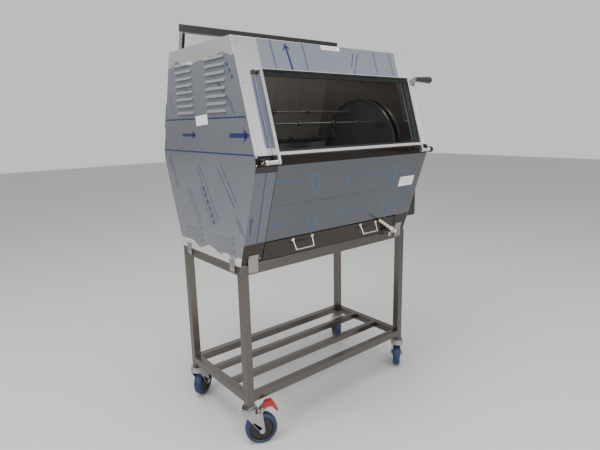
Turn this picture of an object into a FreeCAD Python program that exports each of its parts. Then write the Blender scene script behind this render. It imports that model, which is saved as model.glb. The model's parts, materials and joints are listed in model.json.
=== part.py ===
import FreeCAD, Part
import math
import os

os.makedirs("parts", exist_ok=True)
V = FreeCAD.Vector

# ---- cabinet outline (mm), origin on the floor under the centre of the stand ----
body_w = 900.0
top_depth = 450.0
mid_depth = 678.0
base_depth = 440.0
base_z = 715.0
lower_h = 356.0
band_h = 37.0
upper_h = 379.0
skin_t = 1.5
liner_t = 1.2
liner_gap = 20.0
wall_inset = 55.0
louvre_out = 5.0
louvre_h = 11.0
louvre_len = 133.0
louvre_pitch = 25.0
louvre_y = 51.0

# ---- stand ----
stand_ledge = 5.0
leg_sq = 30.0
leg_wall = 1.5
rail_h = 35.0
shelf_lift = 48.0
bar_w = 25.0
mid_bar_y = 70.0
tab_t = 2.0
tab_w = 34.0
side_tab_inset = 59.0
front_tab_inset = 50.0

# ---- castors ----
wheel_d = 125.0
wheel_w = 34.0
castor_trail = 42.0
head_d = 56.0
crown_gap = 9.0
race_h = 16.0
head_h = 10.0
plug_gap = 0.5
fork_t = 3.0
fork_gap = 42.0
axle_d = 12.0
king_d = 12.0
swivel_rest = {"fl": -25.0, "fr": 38.0, "rl": 34.0, "rr": 60.0}

# ---- front door ----
fascia_len = 115.0
door_inset = 70.0
door_overhang = 7.2
door_bar = 10.0
door_back = 2.0
door_depth = 25.0
glass_t = 4.0
glass_back = 8.0
post_lap = 30.0
pivot_drop = 28.8
pivot_n = 19.5
lug_inset = 9.0
lug_t = 7.0
pivot_pin_d = 8.0
pin_body_d = 14.0
grip_len = 100.0
arm_reach = 61.0
grip_d_small = 19.0
grip_d_big = 30.0

# ---- rotor ----
rotor_r = 222.0
rotor_z = 1090.0
disc_t = 3.0
disc_gap = 15.0
disc_rim = 12.0
shaft_d = 16.0
spit_inset = 52.0
spit_d = 8.0
spit_count = 6
rest_arm = 44.0
rest_t = 2.5
rest_depth = 26.0

# ---- drip tray, controls, rear upstand ----
corner_w = 89.0
tray_side_gap = 11.0
tray_wall = 1.5
tray_z = 722.0
tray_side_h = 46.0
tray_back_gap = 20.0
tray_lip_h = 77.0
tray_foot_gap = 3.4
handle_x = 182.0
handle_span = 95.0
handle_out = 27.0
wire_d = 5.0
valve_inset = 30.0
lever_len = 118.0
lever_angle = 148.0
ctrl_out = 91.0
ctrl_y0 = -215.0
ctrl_len = 240.0
ctrl_z0 = 768.0
ctrl_h = 116.0
knob_d = 38.0
gland_d = 16.0
cable_d = 10.0
upstand_inset = 40.0
upstand_h = 106.0
upstand_d = 16.0
cap_h = 24.0
buffer_t = 12.0

# ---- clearances ----
run_fit = 0.05
part_gap = 0.3

top_z = base_z + lower_h + band_h + upper_h
band_z0 = base_z + lower_h
band_z1 = band_z0 + band_h
half_top = top_depth / 2
half_mid = mid_depth / 2
half_base = base_depth / 2
side_x = body_w / 2
in_x = side_x - skin_t
wall_x = side_x - wall_inset
rail_z0 = base_z - rail_h
stand_w = body_w
stand_d = base_depth + 2 * stand_ledge
crown_z = wheel_d + crown_gap
head_z = crown_z + race_h
leg_bottom_z = head_z + head_h
shelf_top_z = leg_bottom_z + shelf_lift
side_tab_y = stand_d / 2 - side_tab_inset
front_tab_x = stand_w / 2 - front_tab_inset
slope_up = math.hypot(half_mid - half_top, upper_h)
slope_low = math.hypot(half_mid - half_base, lower_h)
door_half_w = side_x - door_inset
door_bottom = slope_up + door_overhang
post_inner = door_half_w - post_lap
pivot_s = slope_up + pivot_drop
lug_x1 = side_x - lug_inset
lug_x0 = lug_x1 - lug_t
grip_x0 = door_half_w + arm_reach
disc_x = wall_x - disc_gap
spit_r = rotor_r - spit_inset
seam_x = side_x - corner_w
tray_half_w = seam_x - tray_side_gap
tray_back_y = half_base - tray_back_gap
tray_front_end = slope_low - tray_foot_gap
tray_front_s = tray_front_end - tray_lip_h
valve_x = tray_half_w - valve_inset
upstand_half_w = side_x - upstand_inset


def box(x0, y0, z0, x1, y1, z1):
    return Part.makeBox(x1 - x0, y1 - y0, z1 - z0, V(x0, y0, z0))


def prism_x(yz, x0, x1):
    pts = [V(x0, y, z) for y, z in yz]
    return Part.Face(Part.makePolygon(pts + pts[:1])).extrude(V(x1 - x0, 0, 0))


def rod(a, b, d):
    axis = b.sub(a)
    return Part.makeCylinder(d / 2, axis.Length, a, axis)


def cone(a, b, d0, d1):
    axis = b.sub(a)
    return Part.makeCone(d0 / 2, d1 / 2, axis.Length, a, axis)


def fuse(items):
    shape = items[0]
    for item in items[1:]:
        shape = shape.fuse(item)
    return shape.removeSplitter()


def cut(shape, tools):
    for tool in tools:
        shape = shape.cut(tool)
    return shape


def save(name, items):
    solids = items if isinstance(items, list) else [items]
    shape = solids[0] if len(solids) == 1 else Part.makeCompound(solids)
    shape.exportStep("parts/" + name + ".step")


class Slope:
    """A sloped face: s runs down the slope, n points out of the cabinet."""

    def __init__(self, y0, z0, y1, z1):
        self.length = math.hypot(y1 - y0, z1 - z0)
        self.y0, self.z0 = y0, z0
        self.sy, self.sz = (y1 - y0) / self.length, (z1 - z0) / self.length
        out = 1.0 if y0 + y1 > 0 else -1.0
        self.ny, self.nz = out * abs(self.sz), -out * self.sy * (1.0 if self.sz < 0 else -1.0)
        if (self.ny * self.sy + self.nz * self.sz) ** 2 > 1e-9:
            self.nz = -self.nz

    def yz(self, s, n):
        return (self.y0 + s * self.sy + n * self.ny, self.z0 + s * self.sz + n * self.nz)

    def point(self, x, s, n):
        y, z = self.yz(s, n)
        return V(x, y, z)

    def slab(self, x0, x1, s0, s1, n0, n1):
        return prism_x([self.yz(s0, n0), self.yz(s1, n0), self.yz(s1, n1), self.yz(s0, n1)], x0, x1)

    def plate(self, xs, n0, n1):
        pts = [self.point(x, s, n0) for x, s in xs]
        face = Part.Face(Part.makePolygon(pts + pts[:1]))
        return face.extrude(V(0, self.ny, self.nz) * (n1 - n0))

    def normal(self):
        return V(0, self.ny, self.nz)


front_up = Slope(-half_top, top_z, -half_mid, band_z1)
rear_up = Slope(half_top, top_z, half_mid, band_z1)
front_low = Slope(-half_mid, band_z0, -half_base, base_z)
rear_low = Slope(half_mid, band_z0, half_base, base_z)


def outline(inset):
    """Six-sided cabinet profile in (y, z), moved in by an even amount."""
    up_tan = (half_mid - half_top) / upper_h
    low_tan = (half_mid - half_base) / lower_h
    k_up = inset * math.sqrt(1 + up_tan ** 2)
    k_low = inset * math.sqrt(1 + low_tan ** 2)
    zt, zb = top_z - inset, base_z + inset
    y_top = half_top + (top_z - zt) * up_tan - k_up
    y_bot = half_base + (zb - base_z) * low_tan - k_low
    y_mid = half_mid - inset
    z_up = band_z1 - (k_up - inset) / up_tan if inset else band_z1
    z_low = band_z0 + (k_low - inset) / low_tan if inset else band_z0
    right = [(y_bot, zb), (y_mid, z_low), (y_mid, z_up), (y_top, zt)]
    return [(-y, z) for y, z in right] + right[::-1]


# ---------------- stand ----------------
def square_tube(x0, y0, z0, x1, y1, z1, axis, wall=leg_wall):
    outer = box(x0, y0, z0, x1, y1, z1)
    w = wall
    inner = {"x": (x0 - 1, y0 + w, z0 + w, x1 + 1, y1 - w, z1 - w),
             "y": (x0 + w, y0 - 1, z0 + w, x1 - w, y1 + 1, z1 - w),
             "z": (x0 + w, y0 + w, z0 - 1, x1 - w, y1 - w, z1 + 1)}[axis]
    return outer.cut(box(*inner))


def end_plates(y0, z0, y1, z1):
    """Closing plates welded into the two ends of a rail that runs the stand's full width."""
    t = leg_wall
    hx = stand_w / 2
    return [box(min(s * hx, s * (hx - t)), y0 + t, z0 + t, max(s * hx, s * (hx - t)), y1 - t, z1 - t)
            for s in (-1, 1)]


def corners():
    hx, hy = stand_w / 2, stand_d / 2
    half = leg_sq / 2
    return {"fl": (-hx + half, -hy + half), "fr": (hx - half, -hy + half),
            "rl": (-hx + half, hy - half), "rr": (hx - half, hy - half)}


def make_stand():
    hx, hy = stand_w / 2, stand_d / 2
    half = leg_sq / 2
    legs = [square_tube(cx - half, cy - half, leg_bottom_z, cx + half, cy + half, rail_z0, "z")
            for cx, cy in corners().values()]
    save("stand_legs", legs)
    rails = []
    for y0 in (-hy, hy - leg_sq):
        tube = square_tube(-hx, y0, rail_z0, hx, y0 + leg_sq, base_z, "x")
        rails.append(fuse([tube] + end_plates(y0, rail_z0, y0 + leg_sq, base_z)))
    rails += [square_tube(s * hx - (leg_sq if s > 0 else 0), -hy + leg_sq, rail_z0,
                          s * hx + (0 if s > 0 else leg_sq), hy - leg_sq, base_z, "y") for s in (-1, 1)]
    save("top_rails", rails)
    z0 = shelf_top_z - leg_sq
    sides = [square_tube(s * hx - (leg_sq if s > 0 else 0), -hy + leg_sq, z0,
                         s * hx + (0 if s > 0 else leg_sq), hy - leg_sq, shelf_top_z, "y") for s in (-1, 1)]
    save("shelf_side_bars", sides)
    bars = [square_tube(-hx + leg_sq, s * hy - (leg_sq if s > 0 else 0), z0,
                        hx - leg_sq, s * hy + (0 if s > 0 else leg_sq), shelf_top_z, "x") for s in (-1, 1)]
    bars += [square_tube(-hx + leg_sq, y - bar_w / 2, shelf_top_z - bar_w,
                         hx - leg_sq, y + bar_w / 2, shelf_top_z, "x") for y in (-mid_bar_y, mid_bar_y)]
    save("shelf_bars", bars)


def side_tab(sx, sy):
    hx = stand_w / 2
    y0 = sy * side_tab_y - tab_w / 2
    return box(min(sx * hx, sx * (hx + tab_t)), y0, rail_z0 + 6,
               max(sx * hx, sx * (hx + tab_t)), y0 + tab_w, base_z + 20)


def front_tab(sx, sy):
    slope = front_low if sy < 0 else rear_low
    hy = stand_d / 2
    x0 = sx * front_tab_x - tab_w / 2 - 4
    x1 = x0 + tab_w + 8
    foot = box(x0, min(sy * hy, sy * (hy + tab_t)), rail_z0 + 6,
               x1, max(sy * hy, sy * (hy + tab_t)), base_z - 4)
    s_low, s_high = slope.length - 18.0, slope.length - 40.0
    lean = slope.slab(x0, x1, s_high, s_low, part_gap, part_gap + tab_t)
    bridge = prism_x([(sy * hy, base_z - 4.0), slope.yz(s_low, part_gap),
                      slope.yz(s_low, part_gap + tab_t), (sy * (hy + tab_t), base_z - 4.0)], x0, x1)
    return fuse([foot, bridge, lean])


def make_tabs():
    tabs = []
    for sx in (-1, 1):
        for sy in (-1, 1):
            tabs += [side_tab(sx, sy), front_tab(sx, sy)]
    save("locating_tabs", tabs)


# ---------------- castors ----------------
def local(cx, cy, angle):
    a = math.radians(angle)
    du, dv = V(math.cos(a), math.sin(a), 0), V(-math.sin(a), math.cos(a), 0)
    return lambda u, v, z: V(cx, cy, z) + du * u + dv * v


def side_plate(at, profile, v0, v1):
    pts = [at(u, v0, z) for u, z in profile]
    step = at(0, v1, 0).sub(at(0, v0, 0))
    return Part.Face(Part.makePolygon(pts + pts[:1])).extrude(step)


def make_castor(tag, with_pedal):
    cx, cy = corners()[tag]
    at = local(cx, cy, swivel_rest[tag])
    axle_z = wheel_d / 2
    gap, out = fork_gap / 2, fork_gap / 2 + fork_t
    arm = [(-22.0, crown_z), (castor_trail + 4.0, crown_z), (castor_trail + 12.0, axle_z),
           (castor_trail + 6.0, axle_z - 12.0), (castor_trail - 6.0, axle_z - 12.0),
           (castor_trail - 12.0, axle_z)]
    crown = side_plate(at, [(-22.0, crown_z - fork_t), (castor_trail + 4.0, crown_z - fork_t),
                            (castor_trail + 4.0, crown_z), (-22.0, crown_z)], -out, out)
    race = rod(at(0, 0, crown_z), at(0, 0, head_z - part_gap), head_d + 4.0)
    king = rod(at(0, 0, head_z - part_gap), at(0, 0, head_z + 6.0), king_d)
    hole = rod(at(castor_trail, -40, axle_z), at(castor_trail, 40, axle_z), axle_d)
    parts = [crown, race, king, side_plate(at, arm, gap, out), side_plate(at, arm, -out, -gap)]
    pin_u, pin_z = castor_trail + 10.0, crown_z + 8.0
    if with_pedal:
        ear = [(pin_u - 18.0, crown_z), (pin_u - 5.0, crown_z - fork_t), (pin_u + 6.0, pin_z),
               (pin_u + 3.0, pin_z + 7.0), (pin_u - 6.0, pin_z + 7.0)]
        pin_hole = rod(at(pin_u, -30, pin_z), at(pin_u, 30, pin_z), 6.0 + 2 * run_fit)
        parts += [cut(side_plate(at, ear, v, v + s * fork_t), [pin_hole]) for v, s in ((13.0, 1), (-13.0, -1))]
    fork = cut(fuse(parts), [hole])
    shank = rod(at(castor_trail, -out, axle_z), at(castor_trail, out, axle_z), axle_d)
    heads = [rod(at(castor_trail, s * out, axle_z), at(castor_trail, s * (out + 7.0), axle_z), 20.0)
             for s in (-1, 1)]
    save("castor_" + tag + "_fork", [fork, fuse([shank] + heads)])
    half_w = wheel_w / 2
    tyre = rod(at(castor_trail, -half_w, axle_z), at(castor_trail, half_w, axle_z), wheel_d)
    ring = tyre.cut(rod(at(castor_trail, -half_w, axle_z), at(castor_trail, half_w, axle_z), wheel_d - 24.0))
    web = rod(at(castor_trail, -7, axle_z), at(castor_trail, 7, axle_z), wheel_d - 24.0)
    rim = rod(at(castor_trail, -half_w + 2, axle_z), at(castor_trail, half_w - 2, axle_z), wheel_d - 24.0)
    rim = rim.cut(rod(at(castor_trail, -half_w, axle_z), at(castor_trail, half_w, axle_z), wheel_d - 34.0))
    hub = rod(at(castor_trail, -half_w - 2.5, axle_z), at(castor_trail, half_w + 2.5, axle_z), 34.0)
    bore = rod(at(castor_trail, -40, axle_z), at(castor_trail, 40, axle_z), axle_d + 2 * run_fit)
    save("castor_" + tag + "_wheel", [ring, cut(fuse([web, rim, hub]), [bore])])
    if with_pedal:
        lever = [(pin_u - 4.0, pin_z - 4.0), (pin_u + 5.0, pin_z - 4.0), (pin_u + 12.0, pin_z + 8.0),
                 (pin_u + 32.0, pin_z + 9.0), (pin_u + 52.0, pin_z - 16.0), (pin_u + 58.0, pin_z - 11.0),
                 (pin_u + 40.0, pin_z + 22.0), (pin_u + 32.0, pin_z + 31.0), (pin_u + 8.0, pin_z + 27.0),
                 (pin_u - 4.0, pin_z + 6.0)]
        pedal = side_plate(at, lever, -12.5, 12.5)
        pin = rod(at(pin_u, -16.0, pin_z), at(pin_u, 16.0, pin_z), 6.0)
        save("castor_" + tag + "_pedal", fuse([pedal, pin]))


def make_castors():
    heads = []
    for tag, (cx, cy) in corners().items():
        at = local(cx, cy, 0)
        disc = rod(at(0, 0, head_z), at(0, 0, head_z + 7.0), head_d)
        cap = box(cx - leg_sq / 2, cy - leg_sq / 2, head_z + 7.0, cx + leg_sq / 2, cy + leg_sq / 2, leg_bottom_z)
        half = leg_sq / 2 - leg_wall - plug_gap
        plug = box(cx - half, cy - half, leg_bottom_z, cx + half, cy + half, leg_bottom_z + 30.0)
        bore = rod(at(0, 0, head_z - 1.0), at(0, 0, head_z + 6.6), king_d + 2 * run_fit)
        heads.append(cut(fuse([disc, cap, plug]), [bore]))
        make_castor(tag, tag in ("fl", "fr"))
    save("castor_heads", heads)


# ---------------- cabinet skin ----------------
def louvre(sx, y0, length, z):
    x_in, x_out = sx * (side_x - skin_t), sx * (side_x + louvre_out)
    top = z + louvre_h
    hood = [(x_in, top), (sx * side_x, top), (x_out, z + 1.0), (x_out, z),
            (x_out - sx * 1.2, z), (x_out - sx * 1.2, z + 0.8), (x_in, top - 1.6)]
    pts = [V(x, y0, zz) for x, zz in hood]
    body = Part.Face(Part.makePolygon(pts + pts[:1])).extrude(V(0, length, 0))
    ends = []
    tri = [V(x, y0, zz) for x, zz in ((x_in, top), (sx * side_x, top), (x_out, z + 1.0),
                                     (x_out, z), (x_in, z))]
    face = Part.Face(Part.makePolygon(tri + tri[:1]))
    ends.append(face.extrude(V(0, 1.2, 0)))
    ends.append(face.translated(V(0, length - 1.2, 0)).extrude(V(0, 1.2, 0)))
    slot = box(min(sx * (side_x - skin_t - 1), sx * (side_x + 1)), y0 + 1.2, z,
               max(sx * (side_x - skin_t - 1), sx * (side_x + 1)), y0 + length - 1.2, top - 2.0)
    return slot, [body] + ends


def make_side(name, sx):
    x0, x1 = sorted((sx * side_x, sx * in_x))
    panel = prism_x(outline(0), x0, x1)
    slots, hoods = [], []
    rows = [(top_z - 57.0) - louvre_pitch * i for i in range(8)]
    rows += [base_z + 103.0 - louvre_pitch * i for i in range(3)]
    for z in rows:
        beside_box = sx > 0 and z < ctrl_z0 + ctrl_h
        for y0 in (louvre_y,) if beside_box else (-louvre_y - louvre_len, louvre_y):
            slot, hood = louvre(sx, y0, louvre_len, z - 6.0)
            slots.append(slot)
            hoods += hood
    panel = fuse([cut(panel, slots)] + hoods)
    if sx > 0:
        panel = panel.cut(rod(V(x0 - 1, ctrl_y0 + 40, ctrl_z0 + 60), V(x1 + 1, ctrl_y0 + 40, ctrl_z0 + 60), 25.0))
    save(name, panel)


def make_skin():
    make_side("left_side_panel", -1)
    make_side("right_side_panel", 1)
    roof = box(-in_x, -half_top, top_z - skin_t, in_x, half_top, top_z)
    save("roof_panel", roof)
    base = box(-in_x, -half_base, base_z, in_x, half_base, base_z + skin_t)
    hole_x, hole_y = side_x - 150.0, half_base - 70.0
    base = base.cut(box(-hole_x, -hole_y, base_z - 1, hole_x, hole_y, base_z + 3))
    save("base_pan", base)
    lid, floor = box(-in_x, -half_mid, top_z - skin_t, in_x, half_mid, top_z + 9), \
        box(-in_x, -half_mid, base_z - 9, in_x, half_mid, base_z + skin_t)
    save("front_fascia", front_up.slab(-post_inner, post_inner, 0, fascia_len - 3, -skin_t, 0).cut(lid))
    band = box(-seam_x, -half_mid, band_z0, seam_x, -half_mid + skin_t, band_z1)
    save("front_band", band)
    ends = [box(*((-in_x, -half_mid) if s < 0 else (seam_x, -half_mid)), band_z0,
                *((-seam_x, -half_mid + skin_t) if s < 0 else (in_x, -half_mid + skin_t)), band_z1)
            for s in (-1, 1)]
    tops = fuse([band] + ends)
    for name, s in (("front_left_post", -1), ("front_right_post", 1)):
        x0, x1 = sorted((s * post_inner, s * in_x))
        post = front_up.slab(x0, x1, 0, front_up.length, -skin_t, 0)
        inner = front_up.slab(min(s * post_inner, s * (post_inner + skin_t)),
                              max(s * post_inner, s * (post_inner + skin_t)), fascia_len, slope_up - 16, -18, -skin_t)
        save(name, fuse([cut(post, [lid, tops]), inner]))
    low = front_low.slab(-seam_x + 2, in_x, 0, tray_front_s - 5, -skin_t, 0)
    save("front_lower_panel", cut(low, [tops]))
    left = cut(front_low.slab(-in_x, -seam_x, 0, front_low.length, -skin_t, 0), [tops, floor])
    right = cut(front_low.slab(seam_x, in_x, tray_front_s - 5, front_low.length, -skin_t, 0), [floor])
    save("front_corner_plates", [left, right])
    rear_band = box(-in_x, half_mid - skin_t, band_z0, in_x, half_mid, band_z1)
    upper = rear_up.slab(-in_x, in_x, 0, rear_up.length, -skin_t, 0)
    lower = rear_low.slab(-in_x, in_x, 0, rear_low.length, -skin_t, 0)
    save("rear_panels", [cut(upper, [rear_band, lid]), rear_band, cut(lower, [rear_band, floor])])


def make_hinges():
    y_pin, z_pin = front_up.yz(pivot_s, pivot_n)
    brackets, pins = [], []
    for s in (-1, 1):
        x0, x1 = sorted((s * seam_x, s * in_x))
        plate = box(x0, -half_mid - 2.0, band_z0, x1, -half_mid + skin_t, band_z1)
        lx0, lx1 = sorted((s * lug_x0, s * lug_x1))
        lug = fuse([box(lx0, y_pin, z_pin - 12.0, lx1, -half_mid - 2.0, z_pin + 12.0),
                    rod(V(lx0, y_pin, z_pin), V(lx1, y_pin, z_pin), 24.0)])
        hole = rod(V(lx0 - 1, y_pin, z_pin), V(lx1 + 1, y_pin, z_pin), pivot_pin_d)
        brackets.append(cut(fuse([plate, lug]), [hole]))
        pts = [(lug_x0, pin_body_d), (lug_x0 - 10, pin_body_d + 3), (lug_x0 - 15, pin_body_d),
               (door_half_w + 12, pin_body_d - 3), (door_half_w + 8, pin_body_d), (door_half_w + 1, pin_body_d)]
        pieces = [rod(V(s * a[0], y_pin, z_pin), V(s * b[0], y_pin, z_pin), a[1])
                  for a, b in zip(pts, pts[1:])]
        pieces.append(rod(V(s * lug_x1, y_pin, z_pin), V(s * lug_x0, y_pin, z_pin), pivot_pin_d))
        pieces.append(rod(V(s * (door_half_w + 1.0), y_pin, z_pin),
                          V(s * (door_half_w - door_bar + 1.0), y_pin, z_pin), pivot_pin_d))
        pins.append(fuse(pieces))
    save("hinge_brackets", brackets)
    save("hinge_pins", pins)
    x_catch = -door_half_w - 3.0
    catch = front_up.slab(x_catch - 13.0, x_catch, fascia_len - 2.0, fascia_len + 10.0, 0, 7)
    roller = rod(front_up.point(x_catch, fascia_len + 4, 4.5), front_up.point(x_catch + 2.6, fascia_len + 4, 4.5), 6.0)
    save("door_catch", fuse([catch, roller]))


# ---------------- door ----------------
def make_door():
    n0, n1 = door_back, door_back + door_depth
    inner = door_half_w - door_bar
    bars = []
    for s in (-1, 1):
        x0, x1 = sorted((s * inner, s * door_half_w))
        bar = front_up.slab(x0, x1, fascia_len, door_bottom, n0, n1)
        tail = front_up.slab(x0, x1, door_bottom, pivot_s, pivot_n - 8.0, pivot_n + 8.0)
        y_pin, z_pin = front_up.yz(pivot_s, pivot_n)
        knuckle = rod(V(x0, y_pin, z_pin), V(x1, y_pin, z_pin), 16.0)
        hole = rod(V(x0 - 1, y_pin, z_pin), V(x1 + 1, y_pin, z_pin), pivot_pin_d + 2 * run_fit)
        bars.append(cut(fuse([bar, tail, knuckle]), [hole]))
    top = front_up.slab(-inner, inner, fascia_len, fascia_len + 3, n0, n1)
    foot = front_up.slab(-inner, inner, door_bottom - 10, door_bottom, n0, n1)
    frame = fuse([bars[0], bars[1], top, foot])
    save("door_frame", frame)
    g0, g1 = glass_back, glass_back + glass_t
    s0, s1 = fascia_len + 3, door_bottom - 10
    save("door_glass", front_up.slab(-inner, inner, s0, s1, g0, g1))
    ring = front_up.slab(-inner, inner, s0, s1, n0 + 1, g0)
    ring = ring.cut(front_up.slab(-inner + 12, inner - 12, s0 + 14, s1 - 12, 0, g0 + 1))
    save("door_seal", ring)
    grip_s, grip_n = fascia_len + 3.0, 21.0
    arm = front_up.plate([(door_half_w, grip_s + 10.0), (grip_x0, grip_s - 12.0), (grip_x0, grip_s + 12.0),
                          (door_half_w, grip_s + 34.0)], grip_n - 2.5, grip_n + 2.5)
    stud = rod(front_up.point(grip_x0 - 4, grip_s, grip_n), front_up.point(grip_x0 + 60, grip_s, grip_n), 8.0)
    save("door_handle_arm", fuse([arm, stud]))
    a = front_up.point(grip_x0, grip_s, grip_n)
    b = front_up.point(grip_x0 + grip_len - 10, grip_s, grip_n)
    c = front_up.point(grip_x0 + grip_len, grip_s, grip_n)
    grip = fuse([cone(a, b, grip_d_small, grip_d_big), cone(b, c, grip_d_big, grip_d_big - 10)])
    hole = rod(front_up.point(grip_x0 - 1, grip_s, grip_n), front_up.point(grip_x0 + 60, grip_s, grip_n), 8.0)
    save("door_handle_grip", grip.cut(hole))


# ---------------- chamber ----------------
def element_path(y, z):
    r = 22.0
    x0, x1 = -wall_x - 12.0, wall_x - 40.0
    a = Part.makeLine(V(x0, y - r, z), V(x1, y - r, z))
    bend = Part.Arc(V(x1, y - r, z), V(x1 + r, y, z), V(x1, y + r, z)).toShape()
    b = Part.makeLine(V(x1, y + r, z), V(x0, y + r, z))
    wire = Part.Wire([a, bend, b])
    circle = Part.Wire([Part.makeCircle(4.0, V(x0, y - r, z), V(1, 0, 0))])
    return wire.makePipeShell([circle], True, False)


def make_chamber():
    heater_y, heater_z = (-120.0, 0.0, 120.0), top_z - 72.0
    holes = [rod(V(-wall_x - 9, y + dy, heater_z), V(-wall_x + 9, y + dy, heater_z), 8.0)
             for y in heater_y for dy in (-22.0, 22.0)]
    walls = []
    for s in (-1, 1):
        x0, x1 = sorted((s * wall_x, s * (wall_x + liner_t)))
        wall = prism_x(outline(skin_t), x0, x1)
        shaft_hole = rod(V(x0 - 1, 0, rotor_z), V(x1 + 1, 0, rotor_z), 26.0)
        tools = [shaft_hole] + (holes if s < 0 else [])
        walls.append(cut(wall, tools))
    save("chamber_end_walls", walls)
    liner_z = top_z - 47.0
    liner_y = half_top - liner_gap
    save("ceiling_liner", box(-wall_x, -liner_y, liner_z, wall_x, liner_y, liner_z + liner_t))
    save("heating_elements", [element_path(y, heater_z) for y in heater_y])
    count = 5
    pitch = 2 * wall_x / count
    sheets = [rear_up.slab(-wall_x + i * pitch + 1, -wall_x + (i + 1) * pitch - 1, 52, slope_up - 24,
                           -liner_gap, -liner_gap + liner_t) for i in range(count)]
    sheets.append(front_low.slab(-wall_x, wall_x, 24, tray_front_s - 10, -liner_gap, -liner_gap + liner_t))
    sheets.append(rear_low.slab(-wall_x, wall_x, 24, slope_low - 75, -liner_gap, -liner_gap + liner_t))
    save("chamber_liners", sheets)
    lamp_y, lamp_z = -60.0, top_z - 75.0
    case = box(wall_x - 16, lamp_y - 90, lamp_z - 14, wall_x, lamp_y + 90, lamp_z + 14)
    case = case.cut(box(wall_x - 17, lamp_y - 86, lamp_z - 10, wall_x - 3, lamp_y + 86, lamp_z + 10))
    tube = rod(V(wall_x - 9, lamp_y - 86, lamp_z), V(wall_x - 9, lamp_y + 86, lamp_z), 10.0)
    save("chamber_lamp", [case, tube])


# ---------------- rotor ----------------
def spit_rests(s, ring_pts):
    """Angle brackets on a disc's inner face; each spit lies in the corner of one."""
    x0, x1 = sorted((s * disc_x, s * (disc_x - rest_depth)))
    rests = []
    for y, z in ring_pts:
        out = V(0, y, z - rotor_z).normalize()
        side = V(0, -out.z, out.y)
        corner = V(x0, y, z) - out * (math.sqrt(2) * (spit_d / 2 + part_gap))
        a, b = (out + side).normalize(), (out - side).normalize()
        t, arm = rest_t, rest_arm
        pts = [corner, corner + a * arm, corner + a * arm - b * t, corner - a * t - b * t,
               corner + b * arm - a * t, corner + b * arm]
        face = Part.Face(Part.makePolygon(pts + pts[:1]))
        rests.append(face.extrude(V(x1 - x0, 0, 0)))
    return rests


def make_rotor():
    axis = lambda x: V(x, 0, rotor_z)
    save("rotor_shaft", rod(axis(-wall_x - 12), axis(wall_x + 24), shaft_d))
    ring_pts = [(spit_r * math.cos(2 * math.pi * i / spit_count + 0.3),
                 rotor_z + spit_r * math.sin(2 * math.pi * i / spit_count + 0.3)) for i in range(spit_count)]
    for name, s in (("rotor_disc_left", -1), ("rotor_disc_right", 1)):
        x0, x1 = sorted((s * disc_x, s * (disc_x + disc_t)))
        disc = rod(axis(x0), axis(x1), 2 * rotor_r)
        rx0, rx1 = sorted((s * disc_x, s * (disc_x - disc_rim)))
        rim = rod(axis(rx0), axis(rx1), 2 * rotor_r).cut(rod(axis(rx0 - 1), axis(rx1 + 1), 2 * rotor_r - 6))
        hub = rod(axis(rx0), axis(rx1), 44.0)
        tools = [rod(V(x0 - 1, y, z), V(x1 + 1, y, z), spit_d) for y, z in ring_pts]
        tools.append(rod(axis(x0 - 20), axis(x1 + 20), shaft_d))
        save(name, [cut(fuse([disc, rim, hub]), tools)] + spit_rests(s, ring_pts))
    spits = []
    for y, z in ring_pts:
        pieces = [rod(V(-disc_x - 8, y, z), V(disc_x + 8, y, z), spit_d)]
        for x, s in ((-230.0, 1), (-90.0, -1), (90.0, 1), (230.0, -1)):
            pieces.append(rod(V(x - 5, y, z), V(x + 5, y, z), 18.0))
            pieces.append(box(x - 2, y - 26, z - 4, x + 2, y + 26, z + 4))
            for dy in (-24.0, 24.0):
                pieces.append(rod(V(x, y + dy, z), V(x + s * 62.0, y + dy, z), 4.0))
        spits.append(fuse(pieces))
    save("spits", spits)
    bearings = []
    for s in (-1, 1):
        wx = s * wall_x
        flange = rod(axis(wx + s * liner_t), axis(wx + s * (liner_t + 4)), 52.0)
        boss = rod(axis(wx - s * 3), axis(wx + s * liner_t), 26.0)
        bearings.append(fuse([flange, boss]).cut(rod(axis(wx - 20), axis(wx + 20), shaft_d + 2 * run_fit)))
    save("shaft_bearings", bearings)
    gx = wall_x + liner_t + 4.0
    gear = box(gx, -50, rotor_z - 45, gx + 36, 50, rotor_z + 45)
    can = rod(V(gx + 18, 22, rotor_z + 45), V(gx + 18, 22, rotor_z + 120), 34.0)
    save("gear_motor", fuse([gear, can]).cut(rod(axis(gx - 1), axis(wall_x + 26), shaft_d + 2 * run_fit)))


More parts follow.
